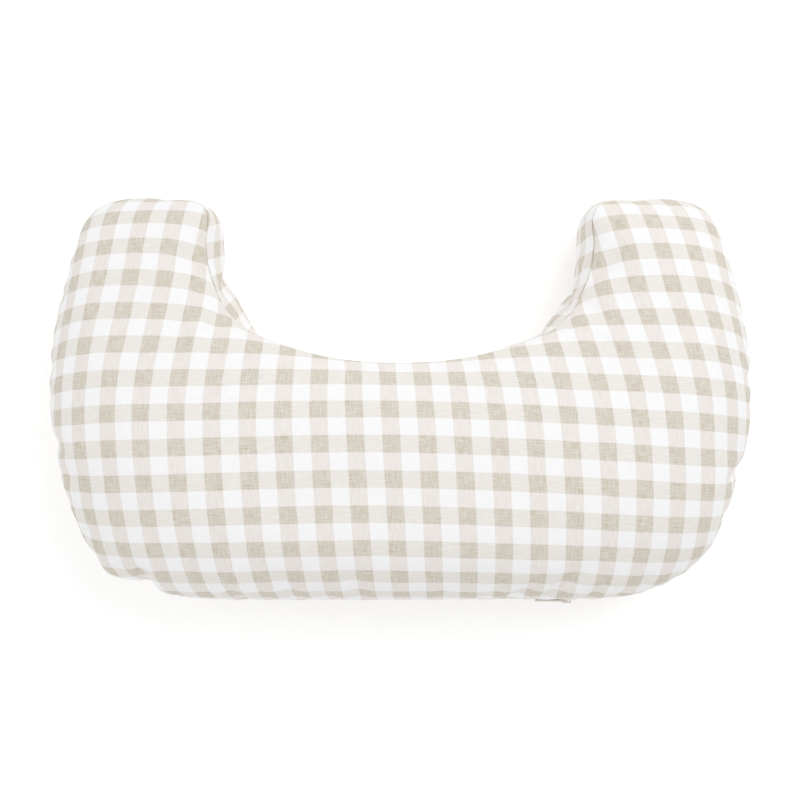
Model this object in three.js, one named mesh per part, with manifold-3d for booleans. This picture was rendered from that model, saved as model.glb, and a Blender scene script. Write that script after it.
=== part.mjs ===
// A crescent nursing pillow lying on its back panel: a zipped gingham cover, a sewn inner pillow and its filling.
// Millimetres, +Z up. The notch for the user's waist opens towards +Y and the zip runs along the belly edge at -Y.
// The origin is on the floor, under the centre of the whole object's box.

import * as THREE from 'three';
import Module from 'manifold-3d';
import { mergeVertices } from 'three/addons/utils/BufferGeometryUtils.js';

const wasm = await Module();
wasm.setup();

// --- Driving dimensions -----------------------------------------------------------------------------------------

const WIDTH = 660; // across the two arms
const DEPTH = 378; // belly edge to arm tips
const NOTCH_WIDTH = 352; // clear width between the arms
const NOTCH_DEPTH = 153; // arm tips to the notch floor
const TIP_X = 238; // middle of an arm's tip

const BELLY_CROWN = 92; // half thickness of the belly, measured from the seam plane
const ARM_CROWN = 68; // the same at the arms
const BELLY_SEAM_Z = 82; // height of the seam plane above the floor
const ARM_SEAM_Z = 62;
const GUSSET = 92; // height of the gusset that lines the notch

const COVER_THICK = 1.2; // the cotton cover, hemmed edges included
const LINER_INSET = 6.5; // ease between the cover's outside and the inner pillow
const LINER_THICK = 0.9;
const FILL_INSET = LINER_INSET + LINER_THICK + 0.4;
const SEAM_GAP = 0.4; // left between pieces that meet at a seam

const ZIP_LENGTH = 340;
const ZIP_SLOT = 12; // fabric edge to fabric edge across the zip
const ZIP_DEPTH = 3; // tape face behind the fabric's outer face
const TAPE = { width: 14, thick: 0.8 };
const COIL = { half: 3, thick: 2.2, slot: 1.2 }; // slot: gap between the two halves, for the slider's wedge
const SLIDER = { length: 15, width: 9.6, plate: 1.3, clearance: 0.4, post: 0.5 };
const BRIDGE = { length: 9, width: 2.2, rise: 3.4, wall: 1.3 };
const PULL = { length: 30, width: 7, thick: 1.3, pin: 0.7, eye: 3.4 };

// --- Materials --------------------------------------------------------------------------------------------------

const material = (color, roughness, metalness = 0) =>
  new THREE.MeshStandardMaterial({ color, roughness, metalness });
const GINGHAM = material(0xe6dfd6, 0.9);
const LINER_COTTON = material(0xf4f2ee, 0.92);
const FIBRE = material(0xfbfbfa, 1);
const TAPE_WEAVE = material(0xf1ece4, 0.85);
const COIL_NYLON = material(0xeee8de, 0.45);
const SLIDER_METAL = material(0xe9e2d6, 0.35, 0.2);
const SATIN = material(0xffffff, 0.5);

// --- Plan of the pillow: a closed loop of columns, each with the point of the spine that it faces ------------------

const BELLY_Y = -DEPTH / 2;
const TIP_Y = DEPTH / 2;
const NOTCH_Y = TIP_Y - NOTCH_DEPTH;
const HALF_WIDTH = WIDTH / 2;
const HALF_NOTCH = NOTCH_WIDTH / 2;
const HALF_ZIP = ZIP_LENGTH / 2;

const BODY_COLUMNS = 22; // from the middle of the pillow to an arm's end, on each side of the spine
const TIP_COLUMNS = 14; // round an arm's end
const RINGS = 7; // from a seam to the spine
const INNER = { body: 14, tip: 8, rings: 5 }; // the same for the inner pillow and its filling

// The right half, in three stretches: belly edge and outer side, arm's end, notch.
function outerPath() {
  const path = new THREE.Path();
  path.moveTo(0, BELLY_Y);
  path.lineTo(HALF_ZIP, BELLY_Y);
  path.bezierCurveTo(HALF_ZIP + 44, BELLY_Y, 262, BELLY_Y + 11, 290, BELLY_Y + 51);
  path.bezierCurveTo(310, -103, HALF_WIDTH, -35, HALF_WIDTH, 22);
  path.bezierCurveTo(HALF_WIDTH, 66, 320, 112, 306, 146);
  return path;
}

function tipPath() {
  const path = new THREE.Path();
  path.moveTo(306, 146);
  path.bezierCurveTo(292, 180, 272, TIP_Y, TIP_X, TIP_Y);
  path.bezierCurveTo(196, TIP_Y, HALF_NOTCH, 178, HALF_NOTCH, 146);
  return path;
}

function notchPath() {
  const path = new THREE.Path();
  path.moveTo(0, NOTCH_Y);
  path.bezierCurveTo(110, NOTCH_Y, HALF_NOTCH, NOTCH_Y + 36, HALF_NOTCH, 146);
  return path;
}

function spinePath() {
  const path = new THREE.Path();
  path.moveTo(0, -76);
  path.bezierCurveTo(160, -76, 262, -70, 244, 112);
  return path;
}

const lerp = THREE.MathUtils.lerp;
const smoothstep = THREE.MathUtils.smoothstep;
const evenly = (path, count) => path.getSpacedPoints(count);

// The share of the full gusset at a column: none on the outer side, all of it in the notch, eased in round the tip.
function tipGussetShare(k, count) {
  return smoothstep(k / count, 0.5, 0.85);
}

function loopOfColumns({ body, tip }) {
  const outer = evenly(outerPath(), body);
  const notch = evenly(notchPath(), body);
  const spine = evenly(spinePath(), body);
  const end = spine[body];
  const right = outer.map((point, i) => ({ point, spine: spine[i], gusset: 0 }));
  evenly(tipPath(), tip).slice(1, -1).forEach((point, k) =>
    right.push({ point, spine: end, gusset: tipGussetShare(k + 1, tip) }));
  for (let i = body; i >= 0; i--) right.push({ point: notch[i], spine: spine[i], gusset: 1 });
  const mirror = ({ point, spine, gusset }) => ({
    point: new THREE.Vector2(-point.x, point.y),
    spine: new THREE.Vector2(-spine.x, spine.y),
    gusset,
  });
  const left = right.slice(1, -1).reverse().map(mirror);
  return right.concat(left);
}

// Each column's outward direction in plan, square to the loop.
function addOutward(columns) {
  columns.forEach((column, i) => {
    const before = columns.at(i - 1).point;
    const after = columns[(i + 1) % columns.length].point;
    column.outward = new THREE.Vector2(after.y - before.y, before.x - after.x).normalize();
  });
  return columns;
}

// --- Heights ----------------------------------------------------------------------------------------------------

const seamPlane = (y) => lerp(BELLY_SEAM_Z, ARM_SEAM_Z, smoothstep(y, -60, 150));
const crownAt = (y) => lerp(BELLY_CROWN, ARM_CROWN, smoothstep(y, -60, 110));
const ROUND = 2.1; // how full the section is
const OUTER_EDGE = 2; // 2 leaves the seam upright, 1 at a slope
const NOTCH_EDGE = 1.3;

// Half the distance between the front and back panel's edges: the gusset, the zip's slot, or a closed seam.
function seamHalf(column, inset, slot) {
  const gusset = (GUSSET / 2 - inset / 2) * column.gusset;
  const zip = (ZIP_SLOT / 2) * slot * smoothstep(HALF_ZIP + 12 - Math.abs(column.point.x), 0, 14);
  return Math.max(gusset, column.point.y < BELLY_Y + 20 ? zip : 0, SEAM_GAP / 2);
}

// A point of a pillow's surface: share 0 is at the seam and 1 at the spine, and side is 1 in front and -1 at the back.
function surfacePoint(column, share, side, { inset, slot, closed }) {
  const edge = column.point.clone().addScaledVector(column.outward, -inset);
  const plan = edge.lerp(column.spine, share);
  const seam = closed && !column.gusset ? 0 : seamHalf(column, inset, slot);
  const crown = crownAt(column.spine.y) - inset;
  const power = 1 / lerp(OUTER_EDGE, NOTCH_EDGE, column.gusset);
  const rise = Math.pow(1 - Math.pow(1 - share, ROUND), power);
  const z = seamPlane(plan.y) + side * (seam + (crown - seam) * rise);
  return new THREE.Vector3(plan.x, plan.y, Math.max(z, inset));
}

// Rings of points from the seam in to the spine, close together near the seam, where the section is steep.
function surfaceRings(columns, rings, side, pillow) {
  return Array.from({ length: rings + 1 }, (_, k) => {
    const share = 1 - Math.cos((Math.PI / 2) * (k / rings));
    return columns.map((column) => surfacePoint(column, share, side, pillow));
  });
}

// The same surface moved inwards by a thickness: square to the surface, and level at the seam.
function insideOf(rings, columns, side, thick, floor) {
  const last = rings.length - 1;
  return rings.map((ring, k) => ring.map((point, i) => {
    const { outward } = columns[i];
    const inward = new THREE.Vector3(-outward.x, -outward.y, 0);
    if (k > 0 && k < last) {
      const along = ring[(i + 1) % ring.length].clone().sub(ring.at(i - 1));
      const across = rings[k + 1][i].clone().sub(rings[k - 1][i]);
      inward.crossVectors(across, along).normalize().multiplyScalar(side);
    }
    if (k === last) inward.set(0, 0, -side);
    const moved = point.clone().addScaledVector(inward, thick);
    moved.z = Math.max(moved.z, floor);
    return moved;
  }));
}

// --- Closed solids from rings -----------------------------------------------------------------------------------

class Faces {
  positions = [];

  triangle(a, b, c) {
    const same = (p, q) => p.distanceToSquared(q) < 1e-8;
    if (same(a, b) || same(b, c) || same(c, a)) return;
    for (const p of [a, b, c]) this.positions.push(p.x, p.y, p.z);
  }

  quad(a, b, c, d, turned = false) {
    if (turned) [b, d] = [d, b];
    this.triangle(a, b, c);
    this.triangle(a, c, d);
  }

  // Quads between each two rings, which run anticlockwise seen from the side that they face.
  sheet(rings, { turned = false, closed = true } = {}) {
    for (let k = 0; k + 1 < rings.length; k++) {
      const count = rings[k].length - (closed ? 0 : 1);
      for (let i = 0; i < count; i++) {
        const j = (i + 1) % rings[k].length;
        this.quad(rings[k][i], rings[k][j], rings[k + 1][j], rings[k + 1][i], turned);
      }
    }
    return this;
  }

  // The four-sided slab between an open sheet and a copy of it behind, with all its edges closed.
  slab(face, behind) {
    this.sheet(face, { closed: false });
    this.sheet(behind, { closed: false, turned: true });
    this.sheet([behind[0], face[0]], { closed: false });
    this.sheet([face.at(-1), behind.at(-1)], { closed: false });
    for (let k = 0; k + 1 < face.length; k++) {
      this.quad(behind[k][0], face[k][0], face[k + 1][0], behind[k + 1][0]);
      this.quad(face[k].at(-1), behind[k].at(-1), behind[k + 1].at(-1), face[k + 1].at(-1));
    }
    return this;
  }

  geometry() {
    const made = new THREE.BufferGeometry();
    made.setAttribute('position', new THREE.Float32BufferAttribute(this.positions, 3));
    const merged = mergeVertices(made, 1e-4);
    merged.computeVertexNormals();
    return merged;
  }
}

// A panel of cloth on one side of the pillow: its outer face, its inner face and the rim between them.
function panelGeometry(columns, rings, side, pillow, thick) {
  const outer = surfaceRings(columns, rings, side, pillow);
  const inner = insideOf(outer, columns, side, thick, side < 0 ? pillow.inset + thick : 0);
  return new Faces()
    .sheet(outer, { turned: side < 0 })
    .sheet(inner, { turned: side > 0 })
    .sheet([inner[0], outer[0]], { turned: side < 0 })
    .geometry();
}

// The strip between the two panels' edges in the notch, bowed a little towards the opening.
const GUSSET_BOW = 4;
const LEAST_GUSSET = 6;

function gussetRows(columns, pillow, inward) {
  const levels = [-1, -0.5, 0, 0.5, 1];
  return levels.map((level) => columns.map((column) => {
    const half = seamHalf(column, pillow.inset, 0) - SEAM_GAP;
    const out = GUSSET_BOW * column.gusset * (1 - level * level) - inward - pillow.inset;
    const plan = column.point.clone().addScaledVector(column.outward, out);
    return new THREE.Vector3(plan.x, plan.y, seamPlane(plan.y) + level * half);
  }));
}

function gussetGeometry(columns, pillow, thick) {
  const strip = columns.filter((column) => seamHalf(column, pillow.inset, 0) > LEAST_GUSSET / 2);
  const outer = gussetRows(strip, pillow, 0);
  const inner = gussetRows(strip, pillow, thick);
  return new Faces().slab(outer, inner).geometry();
}

// The filling: both faces and the notch wall as one closed body.
function coreGeometry(columns, rings, pillow) {
  const front = surfaceRings(columns, rings, 1, pillow);
  const back = surfaceRings(columns, rings, -1, pillow);
  return new Faces()
    .sheet(front)
    .sheet(back, { turned: true })
    .sheet([back[0], front[0]])
    .geometry();
}

// --- The zip, along X at the middle of the belly edge, with its front towards -Y ------------------------------------

const box = (x0, x1, y0, y1, z0, z1) =>
  new THREE.BoxGeometry(x1 - x0, y1 - y0, z1 - z0).translate((x0 + x1) / 2, (y0 + y1) / 2, (z0 + z1) / 2);

function solidOf(geometry) {
  const bare = geometry.clone().deleteAttribute('normal').deleteAttribute('uv');
  const merged = mergeVertices(bare, 1e-4);
  return new wasm.Manifold(new wasm.Mesh({
    numProp: 3,
    vertProperties: merged.attributes.position.array,
    triVerts: merged.index.array,
  }));
}

function geometryOf(solid) {
  const { numProp, numVert, vertProperties, triVerts } = solid.getMesh();
  const made = new THREE.BufferGeometry();
  const positions = new Float32Array(numVert * 3);
  for (let i = 0; i < numVert; i++) {
    positions.set(vertProperties.subarray(i * numProp, i * numProp + 3), i * 3);
  }
  made.setAttribute('position', new THREE.BufferAttribute(positions, 3));
  made.setIndex(new THREE.BufferAttribute(new Uint32Array(triVerts), 1));
  made.computeVertexNormals();
  return made;
}

const joined = (geometries) => geometryOf(geometries.map(solidOf).reduce((all, next) => all.add(next)));

const TAPE_FACE = BELLY_Y + ZIP_DEPTH;
const COIL_END = HALF_ZIP - 5;
const COIL_FRONT = TAPE_FACE - 0.3 - COIL.thick;
const PLATE_BACK = COIL_FRONT - SLIDER.clearance;
const PLATE_FRONT = PLATE_BACK - SLIDER.plate;
const TAPE_BACK = TAPE_FACE + TAPE.thick;
const SLIDER_X = COIL_END - SLIDER.length / 2 - 0.5; // closed
const STOP_X = -COIL_END; // the joined end, where an open zip's slider rests

function tapeGeometry(side) {
  const near = side * (COIL.slot / 2 + 0.2);
  const far = side * TAPE.width;
  return box(-HALF_ZIP, HALF_ZIP, TAPE_FACE, TAPE_BACK, Math.min(near, far), Math.max(near, far));
}

function coilGeometry(side) {
  const near = side * (COIL.slot / 2);
  const far = side * COIL.half;
  return box(-COIL_END, COIL_END, COIL_FRONT, COIL_FRONT + COIL.thick, Math.min(near, far), Math.max(near, far));
}

// A small clamp on one tape, at the end that closes last.
function topStopGeometry(side) {
  const near = side * (COIL.slot / 2);
  const far = side * (COIL.half - 0.2);
  const start = COIL_END + 0.4;
  return box(start, start + 3, COIL_FRONT - 0.2, TAPE_FACE - 0.3, Math.min(near, far), Math.max(near, far));
}

// One clamp across both tapes, where the two halves stay joined.
function bottomStopGeometry() {
  const half = COIL.half + 0.3;
  return box(STOP_X - 4.4, STOP_X - 0.4, COIL_FRONT - 0.3, TAPE_FACE - 0.3, -half, half);
}

// Front and back plates joined by the wedge that runs between the coils, side lips round the coils, and the bridge.
function sliderGeometry() {
  const half = SLIDER.length / 2;
  const lip = SLIDER.width / 2;
  const back = TAPE_BACK + SLIDER.clearance;
  const lipEnd = TAPE_FACE - SLIDER.clearance;
  const frontPlate = box(-half, half, PLATE_FRONT, PLATE_BACK, -lip, lip);
  const backPlate = box(-half, half, back, back + SLIDER.plate, -lip, lip);
  const lips = [-1, 1].map((side) => {
    const [z0, z1] = [side * (COIL.half + SLIDER.clearance), side * lip];
    return box(-half, half, PLATE_BACK - 0.1, lipEnd, Math.min(z0, z1), Math.max(z0, z1));
  });
  const post = box(-2.5, 2.5, PLATE_BACK - 0.1, back + 0.1, -SLIDER.post / 2, SLIDER.post / 2);
  return joined([frontPlate, backPlate, ...lips, post, bridgeGeometry()]);
}

// An arch over the pull's pin, standing on the front plate.
function bridgeGeometry() {
  const half = BRIDGE.length / 2;
  const arch = new THREE.Shape();
  arch.moveTo(-half, 0.1);
  arch.lineTo(-half, -BRIDGE.rise + 1.2);
  arch.quadraticCurveTo(-half, -BRIDGE.rise, -half + 1.4, -BRIDGE.rise);
  arch.lineTo(half - 1.4, -BRIDGE.rise);
  arch.quadraticCurveTo(half, -BRIDGE.rise, half, -BRIDGE.rise + 1.2);
  arch.lineTo(half, 0.1);
  arch.lineTo(half - BRIDGE.wall, 0.1);
  arch.lineTo(half - BRIDGE.wall, -BRIDGE.rise + BRIDGE.wall);
  arch.lineTo(-half + BRIDGE.wall, -BRIDGE.rise + BRIDGE.wall);
  arch.lineTo(-half + BRIDGE.wall, 0.1);
  return new THREE.ExtrudeGeometry(arch, { depth: BRIDGE.width, bevelEnabled: false, curveSegments: 4 })
    .translate(0, PLATE_FRONT, -BRIDGE.width / 2);
}

// The pull lies along -X from its pin, whose centre is the origin here: a tapered tab with an eye round the bridge.
function pullGeometry() {
  const half = PULL.width / 2;
  const end = -PULL.length;
  const tab = new THREE.Shape();
  tab.moveTo(PULL.pin, -half + 0.6);
  tab.lineTo(PULL.pin, half - 0.6);
  tab.quadraticCurveTo(PULL.pin, half, -PULL.pin, half);
  tab.lineTo(-9, half);
  tab.quadraticCurveTo(-13, half, -14, half - 1);
  tab.lineTo(end + 4, half - 0.4);
  tab.quadraticCurveTo(end, half - 0.4, end, 0);
  tab.quadraticCurveTo(end, -half + 0.4, end + 4, -half + 0.4);
  tab.lineTo(-14, -half + 1);
  tab.quadraticCurveTo(-13, -half, -9, -half);
  tab.lineTo(-PULL.pin, -half);
  tab.quadraticCurveTo(PULL.pin, -half, PULL.pin, -half + 0.6);
  const eye = new THREE.Path();
  const eyeEnd = -BRIDGE.length / 2 - 1.2;
  eye.moveTo(-PULL.pin, -PULL.eye / 2);
  eye.lineTo(eyeEnd, -PULL.eye / 2);
  eye.lineTo(eyeEnd, PULL.eye / 2);
  eye.lineTo(-PULL.pin, PULL.eye / 2);
  eye.closePath();
  const grip = new THREE.Path();
  grip.absellipse(end + 5.5, 0, 2.6, 1.5, 0, Math.PI * 2);
  tab.holes.push(eye, grip);
  const plate = new THREE.ExtrudeGeometry(tab, { depth: PULL.thick, bevelEnabled: false, curveSegments: 5 });
  return plate.translate(0, 0, -PULL.thick / 2).rotateX(Math.PI / 2);
}

// --- The care label, folded flat between the cover's back panel and the inner pillow --------------------------------

const LABEL = { depth: 2.4, thick: 0.7, start: 0.02, reach: 0.36, rows: 5 };

// Two neighbouring columns of the back panel just past the zip's end carry the label.
function labelGeometry(columns, pillow) {
  const first = columns.findIndex(({ point }) =>
    point.y < BELLY_Y + 30 && point.x > -HALF_ZIP - 50 && point.x < -HALF_ZIP);
  const pair = [columns[first - 1], columns[first]];
  const rowsAt = (depth) => Array.from({ length: LABEL.rows + 1 }, (_, k) => {
    const share = LABEL.start + (LABEL.reach * k) / LABEL.rows;
    return pair.map((column) => {
      const on = surfacePoint(column, share, -1, pillow);
      const across = surfacePoint(column, share + 0.01, -1, pillow).sub(on);
      const along = new THREE.Vector3(-column.outward.y, column.outward.x, 0);
      return on.addScaledVector(along.cross(across).normalize(), depth);
    });
  });
  return new Faces().slab(rowsAt(LABEL.depth + LABEL.thick), rowsAt(LABEL.depth)).geometry();
}

// --- Assembly ---------------------------------------------------------------------------------------------------

const pillowGroup = new THREE.Group();
const PULL_PROUD = BELLY_Y - (PLATE_FRONT - BRIDGE.rise); // how far the bridge stands out past the belly edge
pillowGroup.position.y = PULL_PROUD / 2;

function add(name, geometry, look, parent = pillowGroup) {
  const mesh = new THREE.Mesh(geometry, look);
  mesh.name = name;
  parent.add(mesh);
  return mesh;
}

const coverColumns = addOutward(loopOfColumns({ body: BODY_COLUMNS, tip: TIP_COLUMNS }));
const innerColumns = addOutward(loopOfColumns(INNER));
const COVER = { inset: 0, slot: 1 };
const LINER = { inset: LINER_INSET, slot: 0 };
const FILL = { inset: FILL_INSET, slot: 0, closed: true };

add('cover_front_panel', panelGeometry(coverColumns, RINGS, 1, COVER, COVER_THICK), GINGHAM);
add('cover_back_panel', panelGeometry(coverColumns, RINGS, -1, COVER, COVER_THICK), GINGHAM);
add('cover_notch_gusset', gussetGeometry(coverColumns, COVER, COVER_THICK), GINGHAM);
add('care_label', labelGeometry(coverColumns, COVER), SATIN);

add('liner_front_panel', panelGeometry(innerColumns, INNER.rings, 1, LINER, LINER_THICK), LINER_COTTON);
add('liner_back_panel', panelGeometry(innerColumns, INNER.rings, -1, LINER, LINER_THICK), LINER_COTTON);
add('liner_notch_gusset', gussetGeometry(innerColumns, LINER, LINER_THICK), LINER_COTTON);
add('fibre_filling', coreGeometry(innerColumns, INNER.rings, FILL), FIBRE);

const zip = new THREE.Group();
zip.position.z = BELLY_SEAM_Z;
pillowGroup.add(zip);
for (const [place, side] of [['upper', 1], ['lower', -1]]) {
  add(`zip_tape_${place}`, tapeGeometry(side), TAPE_WEAVE, zip);
  add(`zip_coil_${place}`, coilGeometry(side), COIL_NYLON, zip);
  add(`zip_top_stop_${place}`, topStopGeometry(side), SLIDER_METAL, zip);
}
add('zip_bottom_stop', bottomStopGeometry(), SLIDER_METAL, zip);
add('zip_slider', sliderGeometry(), SLIDER_METAL, zip).position.x = SLIDER_X;
const pull = add('zip_pull', pullGeometry(), SLIDER_METAL, zip);
pull.position.set(SLIDER_X, PLATE_FRONT - (BRIDGE.rise - BRIDGE.wall) / 2, 0);

export default pillowGroup;
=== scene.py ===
"""A crescent nursing pillow: cloth panels cut flat, sewn, filled by simulation, and closed with a zip."""

import math

import bmesh
import bpy
import numpy as np
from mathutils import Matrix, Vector
from mathutils.bvhtree import BVHTree
from mathutils.geometry import delaunay_2d_cdt


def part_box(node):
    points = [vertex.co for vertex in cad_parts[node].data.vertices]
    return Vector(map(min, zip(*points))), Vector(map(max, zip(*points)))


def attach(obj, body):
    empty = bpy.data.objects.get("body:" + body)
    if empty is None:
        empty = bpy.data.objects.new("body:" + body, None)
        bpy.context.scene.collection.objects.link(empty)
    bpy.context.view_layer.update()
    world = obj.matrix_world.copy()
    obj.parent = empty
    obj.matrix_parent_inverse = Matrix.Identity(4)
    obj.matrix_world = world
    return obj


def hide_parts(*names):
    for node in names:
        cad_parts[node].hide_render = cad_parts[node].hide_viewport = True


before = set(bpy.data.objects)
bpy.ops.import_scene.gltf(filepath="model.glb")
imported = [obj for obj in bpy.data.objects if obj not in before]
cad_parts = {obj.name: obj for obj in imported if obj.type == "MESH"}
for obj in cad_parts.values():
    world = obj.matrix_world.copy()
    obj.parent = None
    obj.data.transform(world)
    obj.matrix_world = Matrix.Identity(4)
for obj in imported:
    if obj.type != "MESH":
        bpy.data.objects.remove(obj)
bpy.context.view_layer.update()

# --- Driving sizes, in metres: the frame gives the outside, and these shape the plan inside it ----

NOTCH_WIDTH = 0.352
NOTCH_DEPTH = 0.153
TIP_X = 0.238  # middle of an arm's tip
ARM_CROWN = 0.068  # half thickness at the arms
GUSSET = 0.092  # height of the strip that lines the notch
GUSSET_BOW = 0.004
GUSSET_DIP = 0.25  # share of its height that the gusset loses in the middle of the notch
OVERHANG = 0.018  # of the front and back over the gusset, in the middle of the notch
OVERHANG_END = 0.4  # share of the way to the spine
UNDER, UNDER_END = 0.8, 0.1  # share of the overhang that the seam lies back by, and where that ends
GUSSET_INSET = 0.003  # of the gusset's seams behind the notch's outline
GUSSET_OPENS = (0.5, 0.85)  # from and to these shares of the way round a tip
SEAM_STEEP = 2  # how steeply the cloth leaves a seam
GUSSET_EASED = 0.7  # how much less steeply it leaves the gusset
MIDDLE_FULL = 0.4  # how much of that comes back in the middle of the notch
FACE_ROUND = 2.1  # how flat the faces stay near the spine
ZIP_SLOT = 0.012  # cloth edge to cloth edge across the zip
SLOT_PAST, SLOT_TAPER = 0.006, 0.010  # where the slot closes past the zip's end, and how gradually
COVER_THICK = 0.0011

low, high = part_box("cover_front_panel")
HALF_WIDTH = high.x
BELLY_Y = low.y
TIP_Y = high.y
MIDDLE_Y = (BELLY_Y + TIP_Y) / 2
CROWN_Z = high.z
NOTCH_Y = TIP_Y - NOTCH_DEPTH
HALF_NOTCH = NOTCH_WIDTH / 2
HALF_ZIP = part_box("zip_tape_upper")[1].x
ZIP_Z = (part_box("zip_coil_upper")[0].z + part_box("zip_coil_lower")[1].z) / 2
ARM_SEAM_Z = low.z
BELLY_CROWN = CROWN_Z - ZIP_Z
BELLY_EDGE_Y = BELLY_Y + 0.02  # only the belly's seam comes below this
ARM_START = -0.06  # y from the middle, where the pillow starts to change towards its arms
ARM_SEAM_END, ARM_CROWN_END = 0.15, 0.11  # where its seam and its crown have reached the arms' heights
MIDDLE_FADES = (0.100, 0.178)  # x between which the notch's middle gives way to the arms

EASE = 1.01  # cloth is cut a little larger than the shape
CLOTH_STEP = 0.0065  # between the points of the simulated cloth
RIM_CLEAR = 0.6  # of a step, kept free between a panel's rim and its inner points
RINGS = 20  # of the smooth shape that the pattern is taken from, from a seam to the spine
EAR_X, DENT_X = -0.270, -0.238  # where the belly's seam stands out in one small ear, and the dent beside it
EAR_TALL, EAR_WIDE = 0.006, 0.011
BODY_COLUMNS = 88  # from the middle of the pillow to an arm's end
TIP_COLUMNS = 28  # round an arm's end


# --- Plan and height of the filled pillow, which the cloth is cut to fit --------------------------


def bezier(p0, p1, p2, p3, steps=50):
    t = np.linspace(0, 1, steps)[:, None]
    p0, p1, p2, p3 = (np.array(p) for p in (p0, p1, p2, p3))
    return (1 - t) ** 3 * p0 + 3 * (1 - t) ** 2 * t * p1 + 3 * (1 - t) * t**2 * p2 + t**3 * p3


def evenly(stretches, count):
    """count + 1 points at equal steps along a path made of stretches."""
    points = np.vstack(stretches)
    reach = np.r_[0, np.cumsum(np.linalg.norm(np.diff(points, axis=0), axis=1))]
    at = np.linspace(0, reach[-1], count + 1)
    return np.stack([np.interp(at, reach, points[:, k]) for k in range(2)], axis=1)


def smoothstep(x, start, end):
    t = np.clip((x - start) / (end - start), 0, 1)
    return t * t * (3 - 2 * t)


def right_half():
    """The plan's three stretches, from the belly's middle round the right arm to the notch's middle."""
    shoulder = (0.290, BELLY_Y + 0.051)
    flank = (HALF_WIDTH, MIDDLE_Y + 0.022)
    arm_outside = (0.306, MIDDLE_Y + 0.146)
    arm_inside = (HALF_NOTCH, MIDDLE_Y + 0.146)
    outer = [
        [(0, BELLY_Y)],
        bezier((HALF_ZIP, BELLY_Y), (HALF_ZIP + 0.044, BELLY_Y), (0.262, BELLY_Y + 0.011), shoulder),
        bezier(shoulder, (0.310, MIDDLE_Y - 0.103), (HALF_WIDTH, MIDDLE_Y - 0.035), flank),
        bezier(flank, (HALF_WIDTH, MIDDLE_Y + 0.066), (0.320, MIDDLE_Y + 0.112), arm_outside),
    ]
    tip = [
        bezier(arm_outside, (0.298, MIDDLE_Y + 0.184), (0.282, TIP_Y), (TIP_X, TIP_Y)),
        bezier((TIP_X, TIP_Y), (0.180, TIP_Y - 0.003), (HALF_NOTCH - 0.008, MIDDLE_Y + 0.188), arm_inside),
    ]
    notch = [bezier(arm_inside, (HALF_NOTCH, NOTCH_Y + 0.036), (0.110, NOTCH_Y), (0, NOTCH_Y))]
    return outer, tip, notch


def spine():
    """The line that both faces rise to, from the middle of the pillow to an arm's end."""
    y = MIDDLE_Y
    line = bezier((0, y - 0.076), (0.160, y - 0.076), (0.262, y - 0.070), (0.244, y + 0.112))
    return evenly([line], BODY_COLUMNS)


class Loop:
    """The plan's closed outline: points, the spine point each faces, the share of gusset, and outward."""

    def __init__(self):
        outer, tip, notch = right_half()
        ridge = spine()
        tip_points = evenly(tip, TIP_COLUMNS)[1:-1]
        points = np.vstack([evenly(outer, BODY_COLUMNS), tip_points, evenly(notch, BODY_COLUMNS)])
        faced = np.vstack([ridge, np.repeat(ridge[-1:], len(tip_points), axis=0), ridge[::-1]])
        round_tip = smoothstep(np.arange(1, TIP_COLUMNS) / TIP_COLUMNS, *GUSSET_OPENS)
        gusset = np.r_[np.zeros(BODY_COLUMNS + 1), round_tip, np.ones(BODY_COLUMNS + 1)]
        self.points = self.mirrored(points, (-1, 1))
        self.spine = self.mirrored(faced, (-1, 1))
        self.gusset = self.mirrored(gusset, 1)
        along = np.roll(self.points, -1, axis=0) - np.roll(self.points, 1, axis=0)
        across = np.stack([along[:, 1], -along[:, 0]], axis=1)
        self.outward = across / np.linalg.norm(across, axis=1)[:, None]
        shift = self.ear() - self.gusset * GUSSET_INSET
        self.points = self.points + self.outward * shift[:, None]

    def ear(self):
        """How far the seam stands out at the belly's left corner, where a tuck pulls it in beside."""
        x, y = self.points.T
        out, dent = (np.exp(-(((x - at) / EAR_WIDE) ** 2)) for at in (EAR_X, DENT_X))
        return EAR_TALL * (out - dent) * (y < MIDDLE_Y - 0.1)

    @staticmethod
    def mirrored(right, flip):
        return np.concatenate([right, right[-2:0:-1] * np.array(flip)])


def seam_plane(y):
    return ZIP_Z + (ARM_SEAM_Z - ZIP_Z) * smoothstep(y - MIDDLE_Y, ARM_START, ARM_SEAM_END)


def crown(y):
    return BELLY_CROWN + (ARM_CROWN - BELLY_CROWN) * smoothstep(y - MIDDLE_Y, ARM_START, ARM_CROWN_END)


def notch_middle(loop):
    """1 on the gusset's middle stretch, fading to 0 towards the arms."""
    return loop.gusset * (1 - smoothstep(np.abs(loop.points[:, 0]), *MIDDLE_FADES))


def seam_half(loop):
    """Half the distance between the two panels' edges: the gusset, the zip's slot, or nothing."""
    beside_zip = loop.points[:, 1] < BELLY_EDGE_Y
    slot = ZIP_SLOT / 2 * smoothstep(HALF_ZIP + SLOT_PAST - np.abs(loop.points[:, 0]), 0, SLOT_TAPER)
    gusset = GUSSET / 2 * loop.gusset * (1 - GUSSET_DIP * notch_middle(loop))
    return np.maximum(gusset, np.where(beside_zip, slot, 0))


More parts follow.
